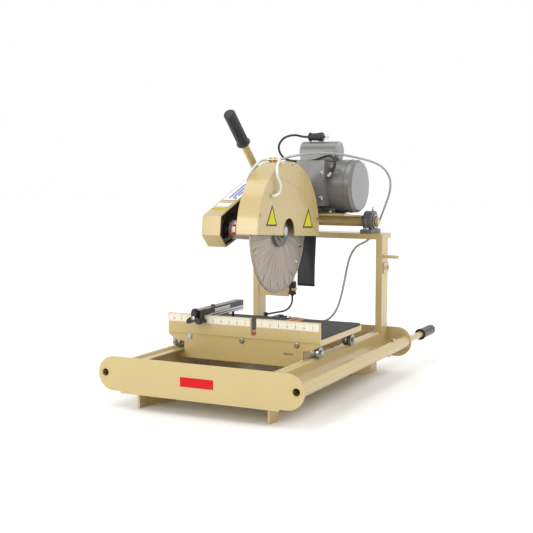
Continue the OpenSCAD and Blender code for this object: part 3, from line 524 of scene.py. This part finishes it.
def make_frame_details():
    decal("front_badge", at(0, 0, 90.5), X, Z, 98, 25, PRINTS["red_vinyl"], "frame", corner=1)
    for side in (-1, 1):
        name = "left" if side < 0 else "right"
        washer(f"{name}_bore_rim", at(side * LIFT_TUBE_X, 0.1, LIFT_TUBE_Z), -Y, 14.0, 10.4, 0.6, "frame",
               "tan_paint")
        for seam, start, end, radius in (
                ("rail_front", (188, 6.5, 125.5), (223, 6.5, 125.5), 1.8),
                ("rail_side", (223.6, 6.5, 60), (223.6, 6.5, 124), 1.8),
                ("rail_rear", (223.6, 808.5, 60), (223.6, 808.5, 124), 1.8),
                ("post_front", (203, 752.8, 127.2), (222.5, 752.8, 127.2), 1.6),
                ("post_side", (202.8, 754, 127.2), (202.8, 805, 127.2), 1.6),
                ("post_top", (202.7, 752.9, 418), (202.7, 752.9, 431), 1.6)):
            weld(f"{name}_{seam}_weld", at(side * start[0], *start[1:]), at(side * end[0], *end[1:]), "frame",
                 radius)
        for end_y, end_name in ((7, "front"), (808, "rear")):
            ring = [at(side * LIFT_TUBE_X + 18.6 * cos(t), end_y, LIFT_TUBE_Z + 18.6 * sin(t))
                    for t in (radians(10 * k) for k in range(37))]
            tube(f"{name}_{end_name}_tube_weld", ring, 1.6 * MM, "frame", "tan_paint", sides=8)
        for place_y, end_name in ((759, "front"), (829, "rear")):
            washer(f"{name}_block_washer_{end_name}", at(side * BEARING_X, place_y, 445.7), Z, 9.6, 4.4, 1.6,
                   "frame", "zinc")
        washer(f"{name}_bearing_ring", at(side * (BEARING_X + 17.05), PIVOT_Y, PIVOT_Z), side * X, 21.2, 13.2,
               1.2, "frame", "bright_steel")
        washer(f"{name}_bearing_seal", at(side * (BEARING_X + 17.05), PIVOT_Y, PIVOT_Z), side * X, 17.6, 13.4,
               1.8, "frame", "black_rubber")
        lathe(f"{name}_grease_nipple",
              [(0, 0.2), (0, 2.6), (2, 2.6), (2.4, 1.6), (4.6, 1.6), (5.4, 2.3), (6.6, 2.1), (7.4, 1.0),
               (7.6, 0.2)], at(side * 172.5, 804, 507.2), Z, "frame", "brass", sides=24)
        lathe(f"{name}_pivot_cap", [(0, 0.2), (0, 11.6), (0.8, 11.9), (1.2, 10.6), (1.0, 0.2)],
              at(side * 195.05, PIVOT_Y, PIVOT_Z), side * X, "head", "tan_paint")
    for k, spot in enumerate((-180, -106)):
        for j, depth in enumerate((706, 768)):
            cap_screw(f"pump_screw_{k}_{j}", at(spot, depth, 150.05), Z, 3.4, 2.6, "frame", "zinc")
    for k in range(7):
        block(f"pump_intake_rib_{k}", (-184 + k * 13.6, 696.9, 62), (-178.5 + k * 13.6, 699, 96), "frame",
              "cast_gray", soft=0.8)
    washer("pump_hose_band", at(-89, 735, 157), X, 5.8, 3.55, 7, "frame", "zinc")
    washer("clip_hose_band", at(148.4, 856, 418.4), Vector((0.66, 0, 0.75)), 5.0, 3.55, 4, "frame", "zinc")


def make_plugs():
    """Moulded plugs with a waist, finger ribs and metal prongs."""
    body_profile = [(0, 0.3), (0, 4.6), (2, 5.6), (4, 7.5), (5, 12.6), (6.5, 14), (9.5, 14), (11, 12.4),
                    (14, 11.2), (20, 11.4), (22, 11.9), (24, 11.4), (26, 11.9), (28, 11.4), (30, 11.9),
                    (34, 12.6), (40, 13.7), (47, 13.9), (51, 13.4), (52, 12.2), (52, 0.3)]
    pump = [(a * 46 / 52, min(r, 13)) for a, r in body_profile]
    pieces = []
    for name, start, way, side, body, node, profile in (
            ("pump_plug", at(-80, 750, 226), Z, X, "frame", "pump_plug", pump),
            ("motor_plug", at(-16, 727, 732.3), X, -Z, "head", "motor_plug", body_profile)):
        shell = lathe(f"{name}_shell", profile, start, way, body, "black_rubber")
        face = start + way * profile[-1][0] * MM
        ground = lathe(f"{name}_ground_pin", [(-1, 0.2), (-1, 2.3), (15, 2.3), (17.5, 1.7), (18.3, 0.2)],
                       face + way.cross(side) * (6.5 * MM), way, body, "zinc", sides=20)
        blades = []
        for k, offset in enumerate((-6.5, 6.5)):
            corners = ((0, 0), (1, 0), (1, 0.9), (0.8, 1), (0.2, 1), (0, 0.9))
            outline = [face + MM * (side * (offset - 0.8) + way.cross(side) * (6 * u - 3)
                                    + way * (18 * v - 1)) for u, v in corners]
            blades.append(plate(f"{name}_prong_{k}", outline, side, 1.6, FINISHES["zinc"], body,
                                soft=0.2))
        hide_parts(node)
        pieces.append([shell, ground, *blades])
    return pieces


# ---- Head details ----

def make_guard_details():
    tube("guard_right_rim", arc_line(*GUARD_CENTER, GUARD_RADIUS, 72.0, -1.4, 181.4), 1.1 * MM, "head",
         "tan_paint", sides=8)
    tube("guard_left_rim", arc_line(*GUARD_CENTER, GUARD_RADIUS, 8.0, -1.4, 181.4), 1.1 * MM, "head",
         "tan_paint", sides=8)
    inner = arc_line(*GUARD_CENTER, 191, 72.2, 24, 78, 36)
    tube("guard_inner_bead", inner, 0.5 * MM, "head", "tan_paint", sides=8)
    for name, apex, low_front, low_rear in (("front_triangle", (293, 538), (254, 481), (323, 477)),
                                            ("rear_triangle", (535, 519), (494, 463), (567, 459))):
        corners = [Vector(p) for p in (low_front, low_rear, apex)]
        middle = sum(corners, Vector((0, 0))) / 3
        for print_name, grow, lift in (("black_vinyl", 1.0, 0.0), ("yellow_vinyl", 0.76, 0.3)):
            outline = []
            for k in range(3):
                here = middle + grow * (corners[k] - middle)
                before = middle + grow * (corners[k - 1] - middle)
                after = middle + grow * (corners[(k + 1) % 3] - middle)
                outline += [here + 0.05 * (before - here), here + 0.015 * (before + after - 2 * here),
                            here + 0.05 * (after - here)]
            plate(f"{name}_{print_name}", [at(72.02 + lift, p.x, p.y) for p in outline], X, 0.3,
                  PRINTS[print_name], "head", soft=0.08)
    crease = (at(72.1, 316, 621), at(72.1, 537, 555))
    tube("guard_crease", [crease[0].lerp(crease[1], k / 12) for k in range(13)], 0.45 * MM, "head",
         "tan_paint", sides=8)

    def flap_place(u, v):
        curl_back = 5 * sin(pi * (1 - v)) * (1 - v)
        return in_head(12 + 56 * u, -189.5 - curl_back - 0.7 * sin(pi * u), -203 + 178 * v)

    sheet = grid_mesh(8, 24, flap_place)
    flap = mesh_piece("splash_flap_sheet", *sheet, FINISHES["black_rubber"], "head", "black_rubber")
    thick = flap.modifiers.new("thickness", "SOLIDIFY")
    thick.thickness, thick.offset = 3.2 * MM, 0
    apply_modifiers(flap)
    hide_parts("splash_flap")


def apply_modifiers(piece):
    graph = bpy.context.evaluated_depsgraph_get()
    made = bpy.data.meshes.new_from_object(piece.evaluated_get(graph))
    piece.modifiers.clear()
    piece.data = made


def make_belt_guard_details():
    slope = radians(20.6)
    up = Vector((0, cos(slope), sin(slope)))

    def on_slope(x, y):
        return at(x, y, 526.9 + 0.376 * (y - 400) + 0.15)

    decal("belt_decal_yellow", on_slope(-143, 384), X, up, 48, 12, PRINTS["yellow_vinyl"], "head")
    decal("belt_decal_white", on_slope(-141, 406), X, up, 44, 26, PRINTS["white_vinyl"], "head")
    decal("belt_panel_white", on_slope(-140, 515), X, up, 50, 158, PRINTS["white_vinyl"], "head", corner=3)
    for k, (offset, length) in enumerate(((-9, 132), (2, 118), (12, 96))):
        decal(f"belt_panel_bar_{k}", on_slope(-140 + offset, 515), X, up, 6.5, length, PRINTS["blue_vinyl"],
              "head", corner=3, lift=0.4)
    tube("belt_guard_edge_bead", [on_slope(-110.2, y) for y in range(360, 716, 12)], 0.8 * MM, "head",
         "tan_paint", sides=8)

    def on_housing(x, radius, degrees):
        turn = radians(degrees)
        return in_head(x, ARBOR[0] - radius * cos(turn), ARBOR[1] + radius * sin(turn))

    label = grid_mesh(10, 14, lambda u, v: on_housing(-102 + 20 * u, 28.25, -30 + 62 * v))
    mesh_piece("housing_label_red", *label, PRINTS["red_vinyl"], "head")
    inset = grid_mesh(8, 10, lambda u, v: on_housing(-98 + 12 * u, 28.45, -16 + 34 * v))
    mesh_piece("housing_label_white", *inset, PRINTS["white_vinyl"], "head")
    for k, x in enumerate((-100, 2)):
        washer(f"housing_band_{k}", in_head(x, *ARBOR), X, 28.9, 27.9, 4, "head", "housing_steel")


def make_motor_details():
    disc = [(0, 0.3), (0, 73.6), (0.5, 74.0), (1.0, 73.4), (1.2, 71.5), (1.2, 0.3)]
    lathe("motor_end_disc", disc, in_head(160.02, *MOTOR_CENTER), head_way(1, 0, 0), "head", "bell_aluminium",
          sides=96)
    for name, x in (("right", 133), ("left", -71.5)):
        washer(f"motor_{name}_seam", in_head(x, *MOTOR_CENTER), X, 82.2, 81.3, 2.5, "head", "motor_paint")
    cap_y, cap_z = -82, MOTOR_CENTER[1] + MOTOR_RADIUS + 25
    for name, x, way in (("right", 88, 1), ("left", -27, -1)):
        lathe(f"capacitor_{name}_end",
              [(0, 0.3), (0, 30.9), (2.5, 30.6), (5, 29.0), (6.5, 26), (6.9, 20), (7, 0.3)],
              in_head(x, cap_y, cap_z), way * X, "head", "bell_aluminium", sides=64)
    front = -187.5
    for k, (z, x) in enumerate(((137, 78), (63, 78))):
        cap_screw(f"conduit_lug_{k}", in_head(x, front, z), head_way(0, -1, 0), 6.2, 5.2, "head", "zinc")
        washer(f"conduit_washer_{k}", in_head(x, front, z), head_way(0, -1, 0), 7.4, 3.2, 1.2, "head", "zinc")
    for k in range(6):
        angle = radians(-6 - 7 * k)
        lathe(f"motor_shell_rib_{k}",
              [(0, 0.2), (0, 1.2), (1.5, 1.7), (150, 1.7), (151.5, 1.2), (151.5, 0.2)],
              in_head(-44, MOTOR_CENTER[0] + 81.1 * cos(angle), MOTOR_CENTER[1] + 81.1 * sin(angle)), X,
              "head", "motor_paint", sides=10)
    cord_line = smooth_route(MOTOR_CORD_ROUTE)
    sleeve_length, rib_pitch = 28, 4
    walked, sleeve_line, radii = 0.0, [], []
    for here, after in zip(cord_line, cord_line[1:]):
        if walked > sleeve_length:
            break
        sleeve_line.append(here)
        rib = 0.45 * sin(tau * walked / rib_pitch)
        radii.append((5.9 - 1.9 * walked / sleeve_length + rib) * MM)
        walked += (after - here).length / MM
    tube("motor_cord_relief", sleeve_line, radii, "head", "black_rubber", sides=20)


def make_handle_and_tee():
    lean = radians(50.8)
    way = head_way(0, -sin(lean), cos(lean))
    start = in_head(-62, -186 - 314 * sin(lean), 8.6 + 314 * cos(lean))
    profile = [(112.5, 0.3), (112.5, 11.1), (0, 11.1), (0, 18.5), (1, 20), (4, 20), (6, 17.4)]
    for k in range(12):
        profile += [(8 + 8.4 * k, 16.7), (11 + 8.4 * k, 17.0), (13.5 + 8.4 * k, 17.0), (16 + 8.4 * k, 16.7)]
    profile += [(113, 17), (117, 16.4), (119.6, 14), (120, 10), (120, 0.3)]
    grip = lathe("handle_grip_sleeve", profile, start, way, "head", "black_rubber")
    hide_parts("handle_grip")
    for name, along in (("left", -1), ("right", 1)):
        washer(f"tee_{name}_nut", at(24 + along * 4, 394, 661), along * X, 6.6, 4.9, 4.5, "head", "brass")
        washer(f"tee_{name}_band", at(24 + along * 9.6, 394, 661), along * X, 5.4, 4.05, 3.6, "head", "zinc")
    washer("tee_rear_nut", at(24, 404.5, 661), Y, 6.8, 4.9, 4.5, "head", "brass")
    washer("tee_rear_band", at(24, 411, 661), Y, 5.0, 3.55, 3.6, "head", "zinc")


# ---- Blade ----

def make_blade_segments():
    """Sintered segments round the rim, one between each pair of slots, a little thicker than the core."""
    count, thick = 20, 1.95
    vertices, faces = [], []
    for k in range(count):
        start = 360 * k / count + 9.6
        steps = 6
        base = len(vertices)
        for side_x in (-thick, thick):
            for radius in (168.5, 177.9):
                for j in range(steps + 1):
                    turn = radians(start + (360 / count - 3.2) * j / steps)
                    vertices.append(in_head(BLADE_X + side_x, ARBOR[0] + radius * cos(turn),
                                            ARBOR[1] + radius * sin(turn)))
        row = steps + 1

        def spot(s, r, j):
            return base + (2 * s + r) * row + j

        for j in range(steps):
            faces.append((spot(0, 0, j), spot(0, 0, j + 1), spot(0, 1, j + 1), spot(0, 1, j)))
            faces.append((spot(1, 0, j), spot(1, 0, j + 1), spot(1, 1, j + 1), spot(1, 1, j)))
            faces.append((spot(0, 1, j), spot(0, 1, j + 1), spot(1, 1, j + 1), spot(1, 1, j)))
            faces.append((spot(0, 0, j), spot(0, 0, j + 1), spot(1, 0, j + 1), spot(1, 0, j)))
        for j in (0, steps):
            faces.append((spot(0, 0, j), spot(0, 1, j), spot(1, 1, j), spot(1, 0, j)))
    mesh_piece("diamond_segments", vertices, faces, PRINTS["segment_grit"], "spindle", "blade_steel",
               smooth=False)
    lathe("arbor_washer", [(0, 13), (0, 27), (0.6, 28), (2.4, 28), (3, 27), (3, 13), (0, 13)],
          in_head(48.1, *ARBOR), X, "spindle", "cast_gray")


# ---- Cart ----

def make_scale():
    """A generic inch scale along the top of the fence, counted both ways from the slot."""
    left, right, slot = (-233, 27), (47, 233), 37
    for name, (low, high) in (("left", left), ("right", right)):
        decal(f"{name}_scale", at((low + high) / 2, 247, 214.6), X, Z, high - low, 22.6,
              PRINTS["cream_scale"], "cart", corner=1, thickness=0.2)
    vertices, faces = [], []

    def mark(x, low, high, width):
        base = len(vertices)
        for depth in (246.72, 246.86):
            corners = ((-1, low), (1, low), (1, high), (-1, high))
            vertices.extend(at(x + a * width / 2, depth, z) for a, z in corners)
        faces.extend(tuple(base + i for i in f) for f in
                     ((0, 1, 2, 3), (4, 5, 6, 7), (0, 1, 5, 4), (1, 2, 6, 5), (2, 3, 7, 6), (3, 0, 4, 7)))

    for k in range(-43, 32):
        x = slot + k * INCH / 4
        if left[0] + 2 < x < left[1] - 2 or right[0] + 2 < x < right[1] - 2:
            long_mark = k % 4 == 0
            mark(x, 217.5 if long_mark else 220.5, 225.3, 0.7 if long_mark else 0.5)
            mark(x, 203.9, 208 if long_mark else 206.5, 0.5)
    mesh_piece("scale_marks", vertices, faces, PRINTS["black_vinyl"], "cart", smooth=False)
    numerals = []
    for k in range(-10, 8):
        x = slot + k * INCH
        if k and (left[0] + 8 < x < left[1] - 6 or right[0] + 6 < x < right[1] - 8):
            curve = bpy.data.curves.new(f"numeral_{k}", "FONT")
            curve.body, curve.align_x = str(abs(k)), "CENTER"
            curve.size, curve.extrude = 9.5 * MM, 0.05 * MM
            written = link_object(f"numeral_{k}", curve)
            bpy.context.view_layer.update()
            graph = bpy.context.evaluated_depsgraph_get()
            made = bpy.data.meshes.new_from_object(written.evaluated_get(graph))
            bpy.data.objects.remove(written)
            place = Matrix.Translation(at(x, 246.76, 208.8)) @ Matrix.Rotation(pi / 2, 4, "X")
            made.transform(place)
            numerals.append(link_object(f"numeral_{k}", made))
    dress(join("scale_numerals", numerals), PRINTS["black_vinyl"], "cart", smooth=False)


def make_ribbed_mat():
    """Ribbed rubber in two strips, the ribs running away from the fence."""
    for name, low, high in (("left", -231.5, 14), ("right", 60, 231.5)):
        count = int((high - low) / 7)
        pitch = (high - low) / count
        top = []
        for k in range(count):
            start = low + k * pitch
            top += [(start + 0.02 * pitch, 185.7), (start + 0.22 * pitch, 185.7), (start + 0.30 * pitch, 187),
                    (start + 0.92 * pitch, 187)]
        profile = [(low, 180), (low, 185.7), *top, (high, 185.7), (high, 180)]
        vertices = [at(x, y, z) for y in (258.5, 550) for x, z in profile]
        n = len(profile)
        faces = [(i, (i + 1) % n, (i + 1) % n + n, i + n) for i in range(n)]
        faces += [tuple(range(n)), tuple(range(n, 2 * n))]
        mesh_piece(f"{name}_mat_strip", vertices, faces, FINISHES["black_rubber"], "cart",
                                 "black_rubber", smooth=False)
    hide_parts("deck_mat")
    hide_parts("deck_mat")


def make_cart_details():
    make_scale()
    make_ribbed_mat()
    for k, x in enumerate((-167, 0, 167)):
        washer(f"fence_washer_{k}", at(x, 249.9, 162.5), -Y, 8.6, 3.4, 1.2, "cart", "zinc")
    for side in (-1, 1):
        for k, y in enumerate((272, 503)):
            washer(f"axle_washer_{side + 1}_{k}", at(side * 202.5, y, 143.5), -side * X, 8.5, 4.2, 1.4,
                   "cart", "zinc")
    weld("fence_left_weld", at(-235, 255.3, 180.6), at(-235, 257.5, 224), "cart", 1.2)


def make_guide_details():
    outline = []
    for k in range(72):
        turn = tau * k / 72
        radius = 16.5 + 9.6 * cos(3 * (turn - pi / 2)) + 0.8 * cos(6 * (turn - pi / 2))
        outline.append(at(-130 + radius * cos(turn), 221, 222 + radius * sin(turn)))
    knob = plate("clamp_knob", outline, -Y, 13.8, FINISHES["black_plastic"], "guide_clamp",
                 soft=1.6)
    stud = lathe("clamp_knob_stud", [(0, 0.2), (0, 4), (25.2, 4), (25.6, 3.4), (25.6, 0.2)],
                 at(-130, 220.9, 222), Y, "guide_clamp", "zinc", sides=32)
    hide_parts("guide_knob")
    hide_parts("guide_knob")
    cap_screw("clamp_knob_centre", at(-130, 207.3, 222), -Y, 6, 2.4, "guide_clamp", "zinc")
    decal("guide_side_strip", at(-117, 372, 221.5), Y, Z, 214, 11, FINISHES["bright_steel"], "guide",
          corner=0.8)
    decal("guide_side_groove", at(-117, 372, 221.5), Y, Z, 208, 2.2, PRINTS["black_vinyl"], "guide",
          corner=0.6, lift=0.4)
    decal("guide_side_label", at(-117, 352, 233.6), Y, Z, 92, 10, PRINTS["white_vinyl"], "guide", corner=1)
    washer("guide_top_washer", at(-130, 318, 243.02), Z, 9.2, 4, 1.2, "guide", "brass")
    for k, y in enumerate((268, 462)):
        cap_screw(f"guide_top_screw_{k}", at(-130, y, 243.02), Z, 4.6, 3, "guide", "zinc")


def make_lift_grips():
    for side, body in ((-1, "left_lift"), (1, "right_lift")):
        profile = [(117, 0.2), (117, 10.05), (0, 10.05), (0, 17.6), (1, 18.5), (4.5, 18.5), (6, 17.2)]
        for k in range(13):
            profile += [(9 + 7.6 * k, 16.1), (11 + 7.6 * k, 16.5), (13.6 + 7.6 * k, 16.5),
                        (15.6 + 7.6 * k, 16.1)]
        profile += [(112, 16.5), (117, 15.6), (120, 13), (121, 9), (121, 0.2)]
        grip = lathe(f"{body}_grip_sleeve", profile, at(side * LIFT_TUBE_X, 964, LIFT_TUBE_Z), Y, body,
                     "black_plastic")
        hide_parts(f"{body}_grip")


make_camera()
PUMP_PLUG, MOTOR_PLUG = make_plugs()
make_cords()
paint_cad_nodes()
make_frame_details()
make_guard_details()
make_belt_guard_details()
make_motor_details()
make_handle_and_tee()
make_blade_segments()
make_cart_details()
make_guide_details()
make_lift_grips()
make_stage()
